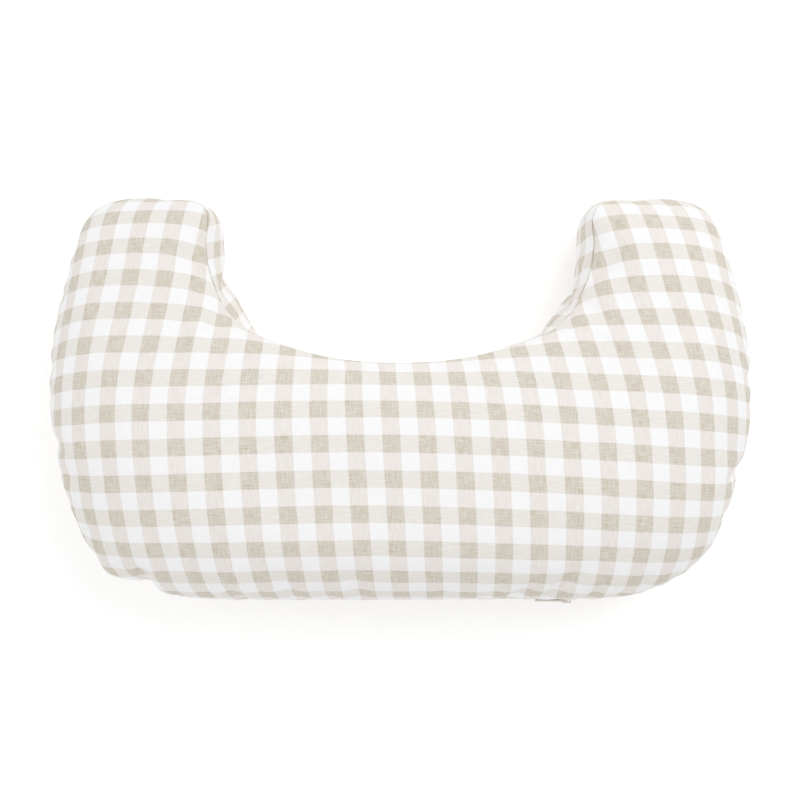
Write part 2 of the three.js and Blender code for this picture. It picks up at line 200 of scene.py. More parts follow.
def filled_shape(loop, side):
    """Rings of points from the seam to the spine on the pillow's front (side 1) or back (side -1)."""
    seam = seam_half(loop)
    overhung = loop.outward * notch_middle(loop)[:, None]
    steep = SEAM_STEEP - GUSSET_EASED * loop.gusset + MIDDLE_FULL * notch_middle(loop)
    rings = []
    for k in range(RINGS + 1):
        share = 1 - math.cos(math.pi / 2 * k / RINGS)
        bulge = 1.1 * math.sin(math.pi * min(share / OVERHANG_END, 1))
        over = bulge - UNDER * max(1 - share / UNDER_END, 0)
        plan = loop.points + (loop.spine - loop.points) * share + overhung * OVERHANG * over
        rise = (1 - (1 - share) ** FACE_ROUND) ** (1 / steep)
        height = seam_plane(plan[:, 1]) + side * (seam + (crown(loop.spine[:, 1]) - seam) * rise)
        rings.append(np.c_[plan, height])
    return np.array(rings)


# --- Springs: what keeps cloth to its length, flat on the table and filled ------------------------


def gathered(index, values, count):
    """The sum of the values that go to each point."""
    return np.stack([np.bincount(index, values[:, k], count) for k in range(values.shape[1])], axis=1)


class Springs:
    """Threads between pairs of points. squeeze is how hard they resist being shortened, against stretched."""

    def __init__(self, pairs, rest, count, squeeze=1.0):
        self.pairs, self.rest, self.squeeze, self.count = pairs, rest, squeeze, count
        self.share = 1 / np.maximum(np.bincount(pairs.ravel(), minlength=count), 1)[:, None]

    def pull(self, points):
        """The mean move that each point's threads ask of it."""
        a, b = self.pairs.T
        span = points[b] - points[a]
        strain = 1 - self.rest / np.linalg.norm(span, axis=1)
        strain[strain < 0] *= self.squeeze
        move = span * (0.5 * strain)[:, None]
        return (gathered(a, move, self.count) - gathered(b, move, self.count)) * self.share


def distinct(pairs):
    pairs = np.unique(np.sort(pairs, axis=1), axis=0)
    return pairs[pairs[:, 0] != pairs[:, 1]]


def lengths(points, pairs):
    return np.linalg.norm(points[pairs[:, 0]] - points[pairs[:, 1]], axis=1)


# --- Pattern: the filled shape pressed flat, then cut into even triangles -------------------------


class Pattern:
    """One face of the filled shape, flattened with as little stretch as a curved face allows."""

    PRESSING_STEPS = 900
    PRESSING_MOMENTUM = 0.96
    PRESSING_PULL = 1.4

    def __init__(self, rings):
        count, columns = rings.shape[:2]
        grid = np.arange(count * columns).reshape(count, columns)
        after = np.roll(grid, -1, axis=1)
        corners = [grid[:-1], after[:-1], after[1:], grid[1:]]
        shape = rings.reshape(-1, 3)
        _, first, same = np.unique(np.round(shape * 1e5), axis=0, return_index=True, return_inverse=True)
        same = same.ravel()
        self.shape = shape[first]
        a, b, c, d = (same[corner].ravel() for corner in corners)
        sides = [np.c_[a, b], np.c_[b, c], np.c_[c, d], np.c_[a, c], np.c_[b, d]]
        pairs = distinct(np.vstack(sides))
        start = self.fanned_out(rings).reshape(-1, 2)[first]
        self.flat = self.pressed(start, Springs(pairs, lengths(self.shape, pairs), len(self.shape)))
        triangles = np.vstack([np.c_[a, b, c], np.c_[a, c, d]])
        self.triangles = triangles[[len(set(t)) == 3 for t in triangles.tolist()]]
        self.edge = same[grid[0]]  # the seam's points, in the loop's order

    @staticmethod
    def fanned_out(rings):
        """Each column laid flat and straight, at its full length from the spine."""
        steps = np.linalg.norm(np.diff(rings, axis=0), axis=2)
        reach = np.vstack([np.cumsum(steps[::-1], axis=0)[::-1], np.zeros(rings.shape[1])])
        spine = rings[-1, :, :2]
        way = rings[0, :, :2] - spine
        way /= np.linalg.norm(way, axis=1)[:, None]
        return spine + way * reach[:, :, None]

    def pressed(self, flat, springs):
        velocity = np.zeros_like(flat)
        for _ in range(self.PRESSING_STEPS):
            velocity = self.PRESSING_MOMENTUM * velocity + self.PRESSING_PULL * springs.pull(flat)
            flat += velocity
        return flat

    def lifted(self, places):
        """Where flat places are on the filled shape."""
        return FlatMap(self.flat, self.triangles).carry(places, self.shape)


class FlatMap:
    """Carries what is known at a flat pattern's points to any place on it."""

    def __init__(self, flat, triangles):
        self.flat, self.triangles = flat, triangles
        self.tree = BVHTree.FromPolygons([Vector((*p, 0)) for p in flat], triangles.tolist())

    def carry(self, places, values):
        faces = [self.tree.find_nearest(Vector((*p, 0)))[2] for p in places]
        corners = self.triangles[faces]
        a, b, c = (self.flat[corners[:, k]] for k in range(3))
        shares = np.stack([turn(places, b, c), turn(a, places, c), turn(a, b, places)], axis=1)
        shares = np.clip(shares / turn(a, b, c)[:, None], 0, 1)
        shares /= shares.sum(axis=1)[:, None]
        return (values[corners] * shares[:, :, None]).sum(axis=1)


def turn(a, b, c):
    """Twice the signed area of each flat triangle."""
    return (b - a)[:, 0] * (c - a)[:, 1] - (b - a)[:, 1] * (c - a)[:, 0]


def inside(points, outline):
    """Which points are inside a closed outline, by counting the edges to the right of each."""
    start, end = outline, np.roll(outline, -1, axis=0)
    x, y = points[:, None, 0], points[:, None, 1]
    crosses = (start[:, 1] > y) != (end[:, 1] > y)
    rise = np.where(end[:, 1] == start[:, 1], 1e-12, end[:, 1] - start[:, 1])
    where = start[:, 0] + (y - start[:, 1]) * (end[:, 0] - start[:, 0]) / rise
    return (crosses & (where > x)).sum(axis=1) % 2 == 1


def from_outline(points, outline):
    """The distance from each point to the nearest edge of a closed outline."""
    start, along = outline, np.roll(outline, -1, axis=0) - outline
    best = np.full(len(points), np.inf)
    for s, d in zip(start, along):
        t = np.clip(((points - s) @ d) / max(d @ d, 1e-12), 0, 1)
        best = np.minimum(best, np.linalg.norm(points - s - t[:, None] * d, axis=1))
    return best


def cut(outline):
    """Even triangles that fill a flat outline. The outline's points come first, in order."""
    low, high = outline.min(axis=0), outline.max(axis=0)
    row = CLOTH_STEP * math.sqrt(3) / 2
    lattice = [
        (x + (k % 2) * CLOTH_STEP / 2, y)
        for k, y in enumerate(np.arange(low[1], high[1], row))
        for x in np.arange(low[0], high[0], CLOTH_STEP)
    ]
    lattice = np.array(lattice)
    lattice = lattice[inside(lattice, outline)]
    lattice = lattice[from_outline(lattice, outline) > RIM_CLEAR * CLOTH_STEP]
    points = np.vstack([outline, lattice])
    count = len(outline)
    edges = [(k, (k + 1) % count) for k in range(count)]
    _, _, faces, origins, _, _ = delaunay_2d_cdt([Vector(p) for p in points], edges, [], 1, 1e-7)
    source = [origin[0] for origin in origins]
    return points, np.array([[source[v] for v in face] for face in faces])


# --- Cloth: the cut panels with the points that they share at the seams ---------------------------


class Panel:
    """A flat cut piece: its points, rim first, its triangles, and its points' numbers in the cover."""

    def __init__(self, flat, triangles, numbers, rim):
        self.flat, self.triangles, self.numbers, self.rim = flat, triangles, numbers, rim

    def faces(self):
        return self.numbers[self.triangles]

    def threads(self):
        t = self.triangles
        return distinct(np.vstack([t[:, [0, 1]], t[:, [1, 2]], t[:, [2, 0]]]))

    def across(self):
        """The two far corners of each pair of triangles that share a side."""
        t = self.triangles
        sides = np.sort(np.vstack([t[:, [0, 1]], t[:, [1, 2]], t[:, [2, 0]]]), axis=1)
        far = np.concatenate([t[:, 2], t[:, 0], t[:, 1]])
        order = np.lexsort(sides.T)
        sides, far = sides[order], far[order]
        twin = (sides[1:] == sides[:-1]).all(axis=1)
        return np.stack([far[:-1][twin], far[1:][twin]], axis=1)


class Cover:
    """Front panel, back panel and notch gusset as one sewn cloth, at the filled shape to begin with."""

    def __init__(self, loop):
        self.columns = self.seam_columns(loop)
        self.half = seam_half(loop)[self.columns]
        self.gusset_share = loop.gusset[self.columns]
        front, back = filled_shape(loop, 1), filled_shape(loop, -1)
        pattern = Pattern(front)
        pattern.flat *= EASE
        outline = pattern.flat[pattern.edge[self.columns]]
        flat, triangles = cut(outline)
        seam = len(outline)
        inner = pattern.lifted(flat[seam:])
        mirrored = inner * (1, 1, -1) + np.c_[np.zeros((len(inner), 2)), 2 * seam_plane(inner[:, 1])]
        self.points = np.vstack([front[0][self.columns], back[0][self.columns], inner, mirrored])
        front_numbers = np.r_[np.arange(seam), 2 * seam + np.arange(len(inner))]
        back_edge = np.where(self.half > 0, seam + np.arange(seam), np.arange(seam))
        back_numbers = np.r_[back_edge, 2 * seam + len(inner) + np.arange(len(inner))]
        self.panels = {
            "front": Panel(flat, triangles, front_numbers, seam),
            "back": Panel(flat, triangles[:, ::-1], back_numbers, seam),
        }
        self.panels["gusset"] = self.notch_strip(loop, front_numbers, back_numbers)
        self.seam = np.unique(np.r_[front_numbers[:seam], back_numbers[:seam]])
        zipped = (self.half > 0) & (self.gusset_share == 0)
        self.pinned = np.unique(np.r_[front_numbers[:seam][zipped], back_numbers[:seam][zipped]])

    def seam_columns(self, loop):
        """Every column on the outer side and round the tips, and every second one in the notch."""
        count = len(loop.points)
        notch_start = BODY_COLUMNS + TIP_COLUMNS
        notch_end = count - notch_start
        columns = np.arange(count)
        in_notch = (columns > notch_start) & (columns < notch_end)
        return columns[~in_notch | ((columns - notch_start) % 2 == 0)]

    def slot_sides(self):
        """The points on the front's and on the back's side of the zip's slot, in the same order."""
        front, back = (self.panels[key].numbers[: self.panels[key].rim] for key in ("front", "back"))
        zipped = np.isin(front, self.pinned)
        return front[zipped], back[zipped]

    def notch_strip(self, loop, front_numbers, back_numbers):
        """The gusset, unrolled along the notch. Its height is 0 where the arms' seams close."""
        used = np.flatnonzero(self.gusset_share > 0)
        used = np.r_[used[0] - 1, used, used[-1] + 1]
        plan, outward = self.points[used][:, :2], loop.outward[self.columns][used]
        run = np.r_[0, np.cumsum(np.linalg.norm(np.diff(plan, axis=0), axis=1))]
        half = self.half[used]
        lower, upper = np.c_[run, -half][1:-1], np.c_[run, half][::-1]
        flat, triangles = cut(np.vstack([lower, upper]))
        edge = np.r_[back_numbers[used[1:-1]], front_numbers[used[::-1]]]
        inner = flat[len(edge):]
        known = (*plan.T, *outward.T, half, self.gusset_share[used])
        x, y, out_x, out_y, tall, share = (np.interp(inner[:, 0], run, value) for value in known)
        bow = GUSSET_BOW * share * (1 - (inner[:, 1] / tall) ** 2)
        x, y = x + out_x * bow, y + out_y * bow
        start = len(self.points)
        self.points = np.vstack([self.points, np.c_[x, y, seam_plane(y) + inner[:, 1]]])
        return Panel(flat, triangles, np.r_[edge, start + np.arange(len(inner))], len(edge))


# --- Filling: the sewn cover blown up until its threads hold it -----------------------------------

FILLING_STEPS = 1000
PUSH = 1.0e-6  # how far the filling moves a point outward in one step
MOMENTUM = 0.965
CLOTH_SQUEEZE = 0.3  # cloth gives way to being shortened far sooner than to being stretched
CLOTH_BEND = 0.2
SEAM_GATHER = 0.995  # stitching draws a seam up a little
NOTCH_GATHER = 0.97
LUMPS = 0.3  # how unevenly the filling presses
GUSSET_PUSH = 0.5  # share of the filling's pressure that the gusset takes
CROWN_FADE = 0.008  # the height round the crown over which the filling stops pushing
UNEVEN = 0.0015  # waves in the cloth before it is filled
FIT = 0.7  # how far cloth beside a seam keeps the sewn shape's lengths, so that its edge isn't scalloped
FIT_HEIGHT = 0.05  # above or below the seam, where that has faded out
SEAM_GOAL = 0.04  # how hard a seam is held to its place
PUCKER_X = -0.009  # the highest of a few soft folds at the notch's seam
PUCKER_PITCH = 0.031
PUCKER_TALL = 0.0022
PUCKER_DRIFT = 0.003  # how unevenly the folds are spaced
PUCKER_REACH = 0.060  # along the seam, to each side
PUCKER_LONG = 0.040  # over the front, from the seam
PUCKER_FULL = 0.005  # from the seam, where they are at their tallest


def point_normals(points, faces):
    """Unit normals, and the faces' area round each point."""
    a, b, c = (points[faces[:, k]] for k in range(3))
    across = np.cross(b - a, c - a)
    total = sum(gathered(faces[:, k], across, len(points)) for k in range(3))
    size = np.linalg.norm(total, axis=1)
    return total / np.maximum(size, 1e-12)[:, None], size / 6


def ripple(points, seed, shortest, longest, count=24):
    """Smooth noise of about 1 in height: waves of random direction and length."""
    rng = np.random.default_rng(seed)
    total = np.zeros(len(points))
    for _ in range(count):
        direction = rng.normal(size=3)
        direction /= np.linalg.norm(direction)
        turns = 2 * math.pi * points @ direction / rng.uniform(shortest, longest)
        total += np.sin(turns + rng.uniform(0, 6.3))
    return total * math.sqrt(2 / count)


def fitted(flat, points, pairs):
    """Rest lengths: the flat cloth's on the faces, and near those of the sewn shape beside the seams."""
    height = np.abs(points[pairs, 2] - seam_plane(points[pairs, 1])).mean(axis=1)
    share = FIT * (1 - smoothstep(height, 0.5 * FIT_HEIGHT, FIT_HEIGHT))
    return flat + share * (EASE * lengths(points, pairs) - flat)


def puckers(points):
    """Heights of the soft upright folds where the front is gathered into the middle of the notch's seam."""
    x, y, z = points.T
    beside = smoothstep(PUCKER_REACH - np.abs(x - PUCKER_X), 0, PUCKER_REACH / 2)
    behind = smoothstep(y, NOTCH_Y - PUCKER_LONG, NOTCH_Y - PUCKER_FULL)
    drift = PUCKER_DRIFT * ripple(points, 7, 0.04, 0.1)
    ridges = np.cos(2 * math.pi * (x + drift - PUCKER_X) / PUCKER_PITCH)
    return PUCKER_TALL * ridges * beside * behind * (z > seam_plane(y))


def cloth_springs(cover):
    """The cloth's threads, and the springs that keep it from bending sharply."""
    points, count = cover.points, len(cover.points)
    threads, thread_rest, bends, bend_rest = [], [], [], []
    for panel in cover.panels.values():
        pairs, far = panel.threads(), panel.across()
        threads.append(panel.numbers[pairs])
        thread_rest.append(lengths(panel.flat, pairs))
        bends.append(panel.numbers[far])
        bend_rest.append(lengths(panel.flat, far))
    threads, bends = np.vstack(threads), np.vstack(bends)
    thread_rest = fitted(np.concatenate(thread_rest), points, threads)
    bend_rest = fitted(np.concatenate(bend_rest), points, bends)
    on_seam = np.isin(threads, cover.seam).all(axis=1)
    in_notch = on_seam & np.isin(threads, cover.panels["gusset"].numbers).all(axis=1)
    thread_rest[on_seam] = SEAM_GATHER * lengths(points, threads[on_seam])
    thread_rest[in_notch] *= NOTCH_GATHER
    return Springs(threads, thread_rest, count, CLOTH_SQUEEZE), Springs(bends, bend_rest, count)


def filled(cover):
    """The cover's points once the filling presses on them."""
    points = cover.points.copy()
    faces = np.vstack([panel.faces() for panel in cover.panels.values()])
    cloth, stiffness = cloth_springs(cover)
    goal = points[cover.seam].copy()
    pinned = points[cover.pinned].copy()
    normals, _ = point_normals(points, faces)
    points += normals * (UNEVEN * ripple(points, 3, 0.03, 0.15))[:, None]
    velocity = np.zeros_like(points)
    push = PUSH * (1 + LUMPS * ripple(points, 11, 0.05, 0.16))
    push[cover.panels["gusset"].numbers] *= GUSSET_PUSH
    for _ in range(FILLING_STEPS):
        normals, area = point_normals(points, faces)
        height = np.abs(points[:, 2] - seam_plane(points[:, 1]))
        room = smoothstep(crown(points[:, 1]) + CROWN_FADE / 2 - height, 0, CROWN_FADE)
        move = normals * (push * room * area / area.mean())[:, None]
        move += cloth.pull(points) + CLOTH_BEND * stiffness.pull(points)
        move[cover.seam] += SEAM_GOAL * (goal - points[cover.seam])
        velocity = MOMENTUM * velocity + move
        points += velocity
        points[cover.pinned] = pinned
        below = points[:, 2] < 0
        points[below, 2] = 0
        velocity[below, 2] = 0
    points[:, 2] += puckers(points)
    return points


# --- Meshes ---------------------------------------------------------------------------------------

CHECK_CENTRE = (-0.0074, -0.0384)  # plan place of a dark check on the crown
COLUMN_LEAN = math.radians(-3.2)  # the cloth was cut a little off its grain
ROW_LEAN = math.radians(0.6)
ROW_BOW = 0.16  # its rows droop towards the sides, by this times the distance squared
ARM_DRAW = 0.015  # its columns shift towards the notch on the arms
ARM_DRAW_STRETCH = (0.02, 0.17)  # flat y over which that comes in
ARM_DRAW_TURN = 10  # how sharply it changes direction in the middle
SEAM_TUCK = 0.0012  # how far stitching pulls a seam in
TUCK_SHARE = 0.25  # of the way to the next points, where that pull ends
LINER_INSET = 0.0062
LINER_THICK = 0.0008
FIBRE_INSET = 0.0088
INNER_SOFTENING = 6  # rounds
INNER_RIPPLE = 0.0006


def mesh_object(name, points, faces, flat=None):
    mesh = bpy.data.meshes.new(name)
    mesh.from_pydata(np.asarray(points).tolist(), [], [list(face) for face in faces])
    if flat is not None:
        corner = np.empty(len(mesh.loops), dtype=np.int32)
        mesh.loops.foreach_get("vertex_index", corner)
        mesh.uv_layers.new(name="cloth").data.foreach_set("uv", flat[corner].ravel().astype(np.float32))
    mesh.shade_smooth()
    made = bpy.data.objects.new(name, mesh)
    bpy.context.scene.collection.objects.link(made)
    return made


def draw_in_rim(mesh, tuck):
    """Pulls the rim's points by tuck, with a loop of points close behind them to keep the groove narrow."""
    bm = bmesh.new()
    bm.from_mesh(mesh)
    rim = {v for v in bm.verts if v.is_boundary}
    leaving = [e for e in bm.edges if (e.verts[0] in rim) != (e.verts[1] in rim)]
    at = {e: TUCK_SHARE if e.verts[0] in rim else 1 - TUCK_SHARE for e in leaving}
    bmesh.ops.subdivide_edges(bm, edges=leaving, cuts=1, edge_percents=at)
    bm.verts.ensure_lookup_table()
    for k, shift in enumerate(tuck):
        bm.verts[k].co += Vector(shift)
    bm.to_mesh(mesh)
    bm.free()
    mesh.shade_smooth()


def thicken(piece, thickness, smooth_levels):
    solid = piece.modifiers.new("thickness", "SOLIDIFY")
    solid.thickness, solid.offset = thickness, -1
    if smooth_levels:
        rounding = piece.modifiers.new("rounding", "SUBSURF")
        rounding.levels = rounding.render_levels = smooth_levels


def along_yarns(flat, origin):
    """Flat places measured along the cloth's yarns, from the middle of a dark check."""
    u, v = (flat - origin).T
    arm = ARM_DRAW * np.clip(ARM_DRAW_TURN * u, -1, 1) * smoothstep(v, *ARM_DRAW_STRETCH)
    x = u * math.cos(COLUMN_LEAN) - v * math.sin(COLUMN_LEAN) + arm
    y = u * math.sin(ROW_LEAN) + v * math.cos(ROW_LEAN) + ROW_BOW * u**2
    return np.c_[x, y]


def grain_origin(panel, points):
    """The flat place under CHECK_CENTRE."""
    off = np.array(CHECK_CENTRE) - points[panel.numbers][:, :2]
    nearest = np.argmin(np.linalg.norm(off, axis=1))
    return panel.flat[nearest] + off[nearest]


def cover_panel(cover, key, name, points, normals):
    """A panel of the cover, drawn in where it is sewn."""
    panel = cover.panels[key]
    origin = grain_origin(cover.panels["front"], points)
    piece = mesh_object(name, points[panel.numbers], panel.triangles, along_yarns(panel.flat, origin))
    rim = panel.numbers[: panel.rim]
    sewn = ~np.isin(rim, cover.pinned)
    draw_in_rim(piece.data, -SEAM_TUCK * normals[rim] * sewn[:, None])
    thicken(piece, COVER_THICK, 1)
    return piece


def inner_points(cover, points, normals, inset, seed):
    """The cover's shape drawn inward, with its zip's slot closed and its folds softened."""
    inner = points - normals * inset
    pairs = distinct(np.vstack([panel.numbers[panel.threads()] for panel in cover.panels.values()]))
    share = 1 / np.maximum(np.bincount(pairs.ravel(), minlength=len(inner)), 1)[:, None]
    for _ in range(INNER_SOFTENING):
        a, b = pairs.T
        total = gathered(a, inner[b], len(inner)) + gathered(b, inner[a], len(inner))
        inner += 0.5 * (total * share - inner)
    inner += normals * (INNER_RIPPLE * ripple(points, seed, 0.02, 0.06))[:, None]
    front, back = cover.slot_sides()
    inner[front] = inner[back] = (inner[front] + inner[back]) / 2
    return inner


def liner_panel(cover, key, name, inner):
    panel = cover.panels[key]
    piece = mesh_object(name, inner[panel.numbers], panel.triangles, panel.flat)
    thicken(piece, LINER_THICK, 0)
    return piece


def tube(path, radius, sides=6):
    """Points and faces of a closed round thread along a path."""
    path = np.asarray(path)
    along = np.gradient(path, axis=0)
    along /= np.linalg.norm(along, axis=1)[:, None]
    reference = np.array([0.31, 0.52, 0.79])  # a direction that no thread here follows
    side = np.cross(along, reference)
    side /= np.linalg.norm(side, axis=1)[:, None]
    up = np.cross(side, along)
    angle = np.arange(sides) * 2 * math.pi / sides
    ring = side[:, None] * np.cos(angle)[:, None] + up[:, None] * np.sin(angle)[:, None]
    points = (path[:, None] + radius * ring).reshape(-1, 3)
    grid = np.arange(len(path) * sides).reshape(-1, sides)
    after = np.roll(grid, -1, axis=1)
    walls = np.stack([grid[:-1], grid[1:], after[1:], after[:-1]], axis=2).reshape(-1, 4).tolist()
    return points, walls + [grid[0].tolist(), grid[-1][::-1].tolist()]


def grid_faces(grid):
    """The four-cornered faces between rows of numbered points."""
    return np.stack([grid[:-1, :-1], grid[:-1, 1:], grid[1:, 1:], grid[1:, :-1]], axis=2).reshape(-1, 4)


def joined(name, parts):
    """One object made of several closed forms."""
    points, faces, start = [], [], 0
    for part_points, part_faces in parts:
        points.append(part_points)
        faces += [[v + start for v in face] for face in part_faces]
        start += len(part_points)
    return mesh_object(name, np.vstack(points), faces)


# --- Zip, its stitching and the care label --------------------------------------------------------

COIL_PITCH = 0.00125
COIL_WIRE = 0.00033
COIL_STEPS = 10
COIL_MESH = 0.0003  # how far a coil's heads reach past the middle of the zip
TAPE_REACH = 0.013  # from the middle of the zip
TAPE_ROWS = 9
TAPE_END = 0.014  # past the zip's half length
TAPE_THICK = 0.0007
TAPE_DEPTH = 0.0034
TAPES_APART = 0.0001  # past the coils' ends, from the zip's middle
COIL_ROOM, COIL_FADE = 0.0007, 0.004  # how much further apart beside the coils, and how gradually
STITCH_LENGTH = 0.0026
STITCH_STEP = 0.0034
STITCH_INSET = 0.0032
STITCH_END = 0.002  # past the zip's half length
STITCH_START = 0.004  # from there to the first thread
STITCH_THREAD = 0.00022
LABEL_WIDTH, LABEL_LENGTH, LABEL_THICK, LABEL_DEPTH = 0.026, 0.046, 0.0006, 0.0028
LABEL_PLACE = (-0.205, BELLY_Y + 0.008)
LABEL_GAP = 0.003  # from the seam to the ribbon
LABEL_ROWS, LABEL_COLUMNS = 14, 7


def coil(name, node, phase):
    """One half of the zip: a nylon wire wound flat along the tape, its heads between the other half's."""
    low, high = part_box(node)
    turns = int((high.x - low.x) / COIL_PITCH)
    t = np.arange(turns * COIL_STEPS + 1) / COIL_STEPS
    angle = 2 * math.pi * t + phase
    low.z, high.z = min(low.z, ZIP_Z - COIL_MESH), max(high.z, ZIP_Z + COIL_MESH)
    middle, half = (low + high) / 2, (high - low) / 2
    x = middle.x + (t - turns / 2) * COIL_PITCH
    y = middle.y + (half.y - COIL_WIRE) * np.sin(angle)
    z = middle.z + (half.z - COIL_WIRE) * np.cos(angle)
    return joined(name, [tube(np.stack([x, y, z], axis=1), COIL_WIRE, 5)])


def zip_edge(panel, points, half_length):
    """The flat edge of a panel along the zip, from left to right, and the distance along it."""
    rim = panel.flat[: panel.rim]
    places = points[panel.numbers[: panel.rim]]
    edge = rim[(np.abs(places[:, 0]) < half_length) & (places[:, 1] < BELLY_EDGE_Y)]
    edge = edge[np.argsort(edge[:, 0])]
    return edge, np.r_[0, np.cumsum(np.linalg.norm(np.diff(edge, axis=0), axis=1))]


def tape(name, panel, points, normals, side):
    """A woven tape, from the coil to under the folded edge of the cloth that it is sewn to."""
    edge, _ = zip_edge(panel, points, HALF_ZIP + TAPE_END)
    steps = np.linspace(0, TAPE_REACH, TAPE_ROWS)
    slot = ZIP_SLOT / 2
    values = np.c_[points[panel.numbers], normals[panel.numbers]]
    surface = FlatMap(panel.flat, panel.triangles)
    rows = []
    for step in steps:
        on = surface.carry(edge + (0, max(step - slot, 0)), values)
        inward = np.clip(on[:, 3:], -1, 1) * smoothstep(step, 0, 2 * slot)
        place = on[:, :3] - inward * TAPE_DEPTH
        bare = 1 - smoothstep(step, 0.6 * slot, 2 * slot)
        place[:, 1] += bare * (BELLY_Y + TAPE_DEPTH - place[:, 1])
        if step < slot:
            apart = TAPES_APART + COIL_ROOM * smoothstep(HALF_ZIP - np.abs(place[:, 0]), 0, COIL_FADE)
            place[:, 2] = ZIP_Z + side * (apart + step)
        rows.append(place)
    faces = grid_faces(np.arange(len(steps) * len(edge)).reshape(len(steps), -1)[::-side])
    across = np.repeat(steps, len(edge))
    flat = np.c_[np.tile(edge[:, 0], len(steps)), across]
    piece = mesh_object(name, np.vstack(rows), faces, flat)
    thicken(piece, TAPE_THICK, 1)
    return piece


def topstitching(name, panel, points, normals):
    """A row of short threads that holds the folded edge beside the zip."""
    edge, run = zip_edge(panel, points, HALF_ZIP + STITCH_END)
    surface = FlatMap(panel.flat, panel.triangles)
    values = np.c_[points[panel.numbers], normals[panel.numbers]]
    shares = np.array([0, 0.12, 0.35, 0.65, 0.88, 1])
    rise = np.array([-0.6, 0.4, 0.9, 0.9, 0.4, -0.6]) * STITCH_THREAD
    threads = []
    for start in np.arange(STITCH_START, run[-1] - STITCH_STEP, STITCH_STEP):
        at = start + STITCH_LENGTH * shares
        flat = np.stack([np.interp(at, run, edge[:, k]) for k in range(2)], axis=1) + (0, STITCH_INSET)
        on = surface.carry(flat, values)
        threads.append(tube(on[:, :3] + on[:, 3:] * rise[:, None], STITCH_THREAD))
    return joined(name, threads)


def care_label(name, cover, loop, points, normals):
    """A blank ribbon inside the cover, sewn into the seam past the zip's end."""
    panel = cover.panels["back"]
    plan = loop.points[cover.columns]
    start = int(np.argmin(np.linalg.norm(plan - LABEL_PLACE, axis=1)))
    rim = panel.flat[: panel.rim]
    along = rim[start + 1] - rim[start - 1]
    along /= np.linalg.norm(along)
    inward = np.array([-along[1], along[0]])
    across = np.linspace(-LABEL_WIDTH / 2, LABEL_WIDTH / 2, LABEL_COLUMNS)
    down = np.linspace(LABEL_GAP, LABEL_GAP + LABEL_LENGTH, LABEL_ROWS)
    flat = (rim[start] + inward * down[:, None, None] + along * across[None, :, None]).reshape(-1, 2)
    values = np.c_[points[panel.numbers], normals[panel.numbers]]
    on = FlatMap(panel.flat, panel.triangles).carry(flat, values)
    faces = grid_faces(np.arange(LABEL_ROWS * LABEL_COLUMNS).reshape(LABEL_ROWS, -1))
    piece = mesh_object(name, on[:, :3] - LABEL_DEPTH * on[:, 3:], faces, flat - flat[0])
    thicken(piece, LABEL_THICK, 1)
    return piece


# --- Materials ------------------------------------------------------------------------------------

CHECK = 0.0156
WHITE = (0.92, 0.92, 0.925)
WARP_ONLY = (0.825, 0.778, 0.740)
WEFT_ONLY = (0.820, 0.788, 0.742)
BOTH_DYED = (0.640, 0.590, 0.505)
YARN_SCALE, SLUB_SCALE = 900, 90  # across and along the yarns: streaks of about 1 by 11 mm
YARN_WANDER = 0.0012  # of the checks' edges
BAND_SHARP = 7.0  # how sharply a dyed band starts
SLUB_FADE = (0.62, 1.22)  # the palest and the deepest dye along a yarn
STREAK_TONE = (0.975, 1.025)  # the darkest and the lightest streak
WEAVE_PITCH = 0.0007
WEAVE_TALL, STREAK_TALL = 0.00002, 0.00010
TAPE_TWILL = 0.0008


class Look:
    """A Principled material being built out of procedural nodes."""

    def __init__(self, name, roughness, sheen=0.0):
        self.material = bpy.data.materials.new(name)
        self.material.use_nodes = True
        self.nodes, self.links = self.material.node_tree.nodes, self.material.node_tree.links
        self.surface = self.nodes["Principled BSDF"]
        self.surface.inputs["Roughness"].default_value = roughness
        self.surface.inputs["Sheen Weight"].default_value = sheen
        self.surface.inputs["Specular IOR Level"].default_value = 0.3
        self.heights = []

    def add(self, kind, inputs=(), **settings):
        node = self.nodes.new("ShaderNode" + kind)
        for name, value in settings.items():
            setattr(node, name, value)
        for key, value in dict(inputs).items():
            self.feed(node.inputs[key], value)
        return node

    def feed(self, socket, value):
        if isinstance(value, bpy.types.NodeSocket):
            self.links.new(value, socket)
        else:
            socket.default_value = value

    def math(self, operation, *values):
        return self.add("Math", dict(enumerate(values)), operation=operation).outputs[0]

    def mix(self, share, a, b):
        """A colour between a and b."""
        return self.add("Mix", {0: share, 6: a, 7: b}, data_type="RGBA", clamp_factor=False).outputs[2]

    def noise(self, vector, scale, detail=2.0, dimensions="3D"):
        inputs = {"Vector": vector, "Scale": scale, "Detail": detail}
        return self.add("TexNoise", inputs, noise_dimensions=dimensions).outputs[0]

    def wave(self, value, pitch):
        return self.math("SINE", self.math("MULTIPLY", value, 2 * math.pi / pitch))

    def spread(self, value, before, after, clamp=True):
        """The value, mapped from one range to another."""
        names = ("From Min", "From Max", "To Min", "To Max")
        inputs = {"Value": value, **dict(zip(names, (*before, *after)))}
        return self.add("MapRange", inputs, clamp=clamp).outputs[0]

    def stretched(self, vector, *scale):
        return self.add("VectorMath", {0: vector, 1: scale}, operation="MULTIPLY").outputs[0]

    def parts(self, vector):
        return self.add("SeparateXYZ", {0: vector}).outputs

    def cloth_place(self):
        return self.add("UVMap", uv_map="cloth").outputs[0]

    def place(self):
        return self.add("TexCoord").outputs["Object"]

    def raise_by(self, height, distance):
        """Adds bumps of a height from 0 to 1, distance metres tall."""
        self.heights.append(self.math("MULTIPLY", height, distance))

    def finish(self, colour):
        self.feed(self.surface.inputs["Base Color"], colour)
        if self.heights:
            total = self.heights[0]
            for height in self.heights[1:]:
                total = self.math("ADD", total, height)
            bump = self.add("Bump", {"Strength": 1.0, "Distance": 1.0, "Height": total})
            self.feed(self.surface.inputs["Normal"], bump.outputs[0])
        return self.material


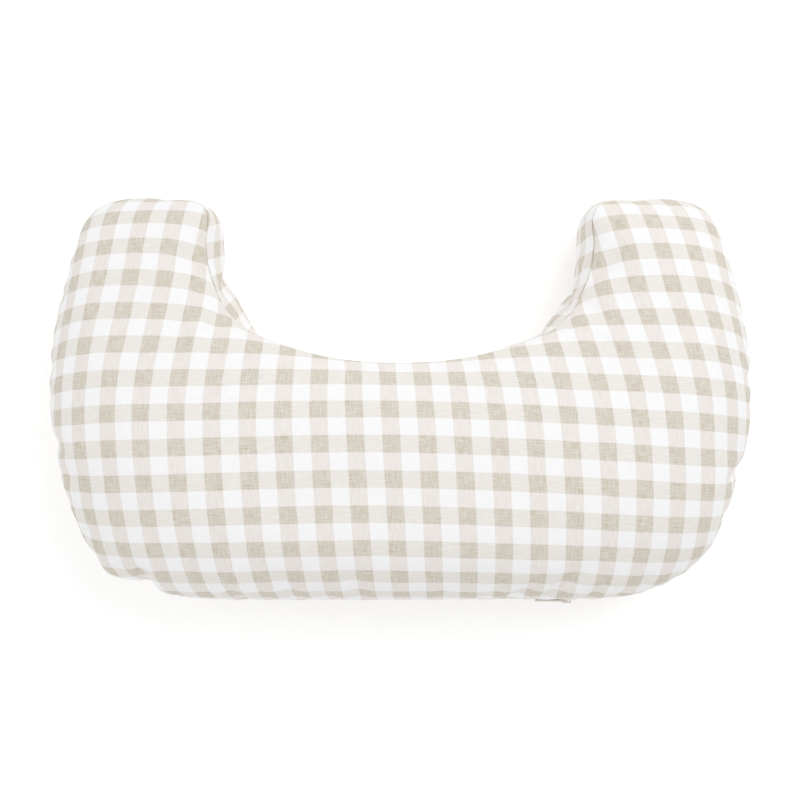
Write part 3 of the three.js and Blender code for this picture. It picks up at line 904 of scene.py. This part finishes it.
def opaque(r, g, b):
    return (r, g, b, 1.0)


def gingham():
    """Checks from dyed and undyed yarns in both directions, with slubs, streaks and a fine weave."""
    look = Look("gingham_cotton", 0.9, sheen=0.06)
    cloth = look.cloth_place()
    wander = look.math("MULTIPLY", look.math("SUBTRACT", look.noise(cloth, 22), 0.5), YARN_WANDER)
    x, y, _ = look.parts(cloth)
    upright, level = (YARN_SCALE, SLUB_SCALE, 1), (SLUB_SCALE, YARN_SCALE, 1)
    warp = yarns(look, cloth, x, wander, upright)
    weft = yarns(look, cloth, y, wander, level)
    undyed = look.mix(warp, opaque(*WHITE), opaque(*WARP_ONLY))
    dyed = look.mix(warp, opaque(*WEFT_ONLY), opaque(*BOTH_DYED))
    grain = [look.noise(look.stretched(cloth, *scale), 1, 4) for scale in (upright, level)]
    streaks = look.math("ADD", *grain)
    tone = look.spread(streaks, (0.75, 1.25), STREAK_TONE)
    weave = look.math("MULTIPLY", look.wave(x, WEAVE_PITCH), look.wave(y, WEAVE_PITCH))
    look.raise_by(look.math("ADD", weave, 1.0), WEAVE_TALL)
    look.raise_by(streaks, STREAK_TALL)
    shade = look.add("VectorMath", {0: look.mix(weft, undyed, dyed), 3: tone}, operation="SCALE")
    return look.finish(shade.outputs[0])


def yarns(look, cloth, across, wander, slub_scale):
    """How much of the dyed colour one direction's yarns carry: bands one check wide, with slubby edges."""
    turns = look.math("MULTIPLY", look.math("ADD", across, wander), math.pi / CHECK)
    band = look.math("MULTIPLY_ADD", look.math("COSINE", turns), BAND_SHARP, 0.5)
    band = look.add("Clamp", {0: band}).outputs[0]
    slub = look.noise(look.stretched(cloth, *slub_scale), 1, 2)
    faded = look.spread(slub, (0.35, 0.65), SLUB_FADE, clamp=False)
    return look.math("MULTIPLY", band, faded)


def plain_cotton():
    look = Look("liner_cotton", 0.9, sheen=0.1)
    cloth = look.cloth_place()
    threads = look.noise(look.stretched(cloth, 1600, 120, 1), 1, 3)
    look.raise_by(threads, 0.00008)
    look.raise_by(look.noise(look.stretched(cloth, 120, 1600, 1), 1, 3), 0.00008)
    return look.finish(look.mix(threads, opaque(0.86, 0.85, 0.82), opaque(0.92, 0.915, 0.9)))


def fibre():
    look = Look("polyester_fibre", 1.0, sheen=0.4)
    tangle = look.noise(look.place(), 900, 6)
    look.raise_by(tangle, 0.0006)
    look.raise_by(look.noise(look.place(), 120, 3), 0.0012)
    return look.finish(look.mix(tangle, opaque(0.85, 0.85, 0.84), opaque(0.96, 0.96, 0.95)))


def zip_tape():
    look = Look("zip_tape", 0.85, sheen=0.1)
    x, _, z = look.parts(look.place())
    ribs = look.wave(look.math("ADD", x, z), TAPE_TWILL)
    cross = look.wave(look.math("SUBTRACT", x, z), TAPE_TWILL)
    weave = look.math("MULTIPLY_ADD", look.math("MULTIPLY", ribs, cross), 0.5, 0.5)
    look.raise_by(weave, 0.00008)
    return look.finish(look.mix(weave, opaque(0.78, 0.74, 0.67), opaque(0.86, 0.83, 0.77)))


def nylon():
    look = Look("zip_coil", 0.38)
    cloudy = look.noise(look.place(), 700, 3)
    look.raise_by(cloudy, 0.00002)
    return look.finish(look.mix(cloudy, opaque(0.8, 0.76, 0.68), opaque(0.86, 0.83, 0.76)))


def enamel():
    """Off-white paint over metal made by casting, with small casting ripples, and painted shade that makes
    the ripples' hollows slightly darker.
    """
    look = Look("zip_metal", 0.32)
    ripples_and_shade = look.noise(look.place(), 1500, 3)
    look.raise_by(ripples_and_shade, 0.00003)
    look.surface.inputs["Coat Weight"].default_value = 0.3
    # the colour follows the ripples' height, so their hollows carry painted shade
    return look.finish(look.mix(ripples_and_shade, opaque(0.76, 0.71, 0.63), opaque(0.84, 0.8, 0.73)))


def thread():
    look = Look("sewing_thread", 0.6, sheen=0.2)
    twist = look.noise(look.place(), 4000, 2)
    look.raise_by(twist, 0.00005)
    return look.finish(look.mix(twist, opaque(0.82, 0.8, 0.76), opaque(0.92, 0.91, 0.88)))


def satin():
    look = Look("label_satin", 0.35, sheen=0.2)
    floats = look.noise(look.stretched(look.cloth_place(), 3000, 150, 1), 1, 3)
    look.raise_by(floats, 0.00003)
    return look.finish(look.mix(floats, opaque(0.88, 0.88, 0.87), opaque(0.95, 0.95, 0.94)))


def floor_paper():
    look = Look("floor_paper", 0.9)
    look.surface.inputs["Emission Color"].default_value = (1, 1, 1, 1)
    look.surface.inputs["Emission Strength"].default_value = FLOOR_GLOW
    pulp = look.noise(look.place(), 400, 4)
    look.raise_by(pulp, 0.0001)
    return look.finish(look.mix(pulp, opaque(0.93, 0.93, 0.93), opaque(0.95, 0.95, 0.95)))


# --- The scene ------------------------------------------------------------------------------------

FLOOR_REACH = 40
FLOOR_GLOW = 0.2  # a lit white table, so that shadows stay faint
SKY, HORIZON = 0.685, 0.855  # strength of the light from all round, overhead and at the horizon
SKY_FADE = 0.3  # sine of the height above the horizon from which it is as overhead
LAMPS = (  # name, place, size, power
    ("window", (1.0, 1.1, 2.2), 1.6, 21),
    ("fill", (-1.4, -0.3, 2.2), 2.0, 9.5),
)
CAMERA_HEIGHT = 1.4  # above the middle of the pillow
VIEW_WIDTH = 0.752  # of the picture, at the middle of the pillow


def dress(piece, material, body="pillow", replaces=()):
    piece.data.materials.clear()
    piece.data.materials.append(material)
    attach(piece, body)
    if replaces:
        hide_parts(*replaces)
    return piece


def redress(node, material):
    """Gives a CAD node that stays a finer material."""
    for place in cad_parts[node].material_slots:
        place.material = material


def build_pillow():
    loop = Loop()
    cover = Cover(loop)
    points = filled(cover)
    faces = np.vstack([panel.faces() for panel in cover.panels.values()])
    normals, _ = point_normals(points, faces)
    cotton, lining, sewn = gingham(), plain_cotton(), thread()
    inner = inner_points(cover, points, normals, LINER_INSET, 5)
    for key, node in (("front", "front_panel"), ("back", "back_panel"), ("gusset", "notch_gusset")):
        outside = cover_panel(cover, key, f"gingham_{node}", points, normals)
        dress(outside, cotton, replaces=[f"cover_{node}"])
        inside_piece = liner_panel(cover, key, f"cotton_{node}", inner)
        dress(inside_piece, lining, replaces=[f"liner_{node}"])
    core = inner_points(cover, points, normals, FIBRE_INSET, 8)
    used, corners = np.unique(closed_faces(cover), return_inverse=True)
    stuffing = mesh_object("matted_fibre", core[used], corners.reshape(-1, 3))
    dress(stuffing, fibre(), replaces=["fibre_filling"])
    ribbon = zip_tape()
    for key, side, way in (("front", "upper", 1), ("back", "lower", -1)):
        row = topstitching(f"topstitching_{side}", cover.panels[key], points, normals)
        dress(row, sewn)
        woven = tape(f"woven_tape_{side}", cover.panels[key], points, normals, way)
        dress(woven, ribbon, replaces=[f"zip_tape_{side}"])
    label = care_label("ribbon_label", cover, loop, points, normals)
    dress(label, satin(), replaces=["care_label"])


def closed_faces(cover):
    """The cover's triangles with the zip's slot closed: its two sides on the same points."""
    shared = np.arange(len(cover.points))
    front, back = cover.slot_sides()
    shared[back] = front
    return shared[np.vstack([panel.faces() for panel in cover.panels.values()])]


def build_zip():
    metal, wire = enamel(), nylon()
    for side, phase in (("upper", 0.0), ("lower", math.pi)):
        node = f"zip_coil_{side}"
        dress(coil(f"nylon_coil_{side}", node, phase), wire, replaces=[node])
        redress(f"zip_top_stop_{side}", metal)
    for node in ("zip_bottom_stop", "zip_slider", "zip_pull"):
        redress(node, metal)


def studio():
    """White light from all round, a little stronger near the horizon, where it is as bright as the floor."""
    world = bpy.data.worlds.new("studio")
    world.use_nodes = True
    nodes, links = world.node_tree.nodes, world.node_tree.links
    direction = nodes.new("ShaderNodeTexCoord").outputs["Generated"]
    height = nodes.new("ShaderNodeSeparateXYZ")
    links.new(direction, height.inputs[0])
    strength = nodes.new("ShaderNodeMapRange")
    for name, value in (("From Max", SKY_FADE), ("To Min", HORIZON), ("To Max", SKY)):
        strength.inputs[name].default_value = value
    links.new(height.outputs["Z"], strength.inputs["Value"])
    nodes["Background"].inputs[0].default_value = (1, 1, 1, 1)
    links.new(strength.outputs[0], nodes["Background"].inputs[1])
    return world


def build_stage():
    corners = np.array([[-1, -1, 0], [1, -1, 0], [1, 1, 0], [-1, 1, 0]]) * FLOOR_REACH - (0, 0, 0.0005)
    floor = mesh_object("floor", corners, [[0, 1, 2, 3]])
    floor.data.materials.append(floor_paper())
    bpy.context.scene.world = studio()
    for name, place, size, power in LAMPS:
        light = bpy.data.lights.new(name, "AREA")
        light.size, light.energy = size, power
        lamp = bpy.data.objects.new(name, light)
        lamp.location = place
        lamp.rotation_euler = (-Vector(place)).to_track_quat("-Z", "Y").to_euler()
        bpy.context.scene.collection.objects.link(lamp)


def build_camera():
    data = bpy.data.cameras.new("camera")
    data.sensor_width = 36
    data.lens = data.sensor_width * CAMERA_HEIGHT / VIEW_WIDTH
    camera = bpy.data.objects.new("camera", data)
    camera.location = (0, 0, CROWN_Z / 2 + CAMERA_HEIGHT)
    bpy.context.scene.collection.objects.link(camera)
    bpy.context.scene.camera = camera
    bpy.context.scene.view_settings.view_transform = "Standard"


build_camera()
build_stage()
build_pillow()
build_zip()
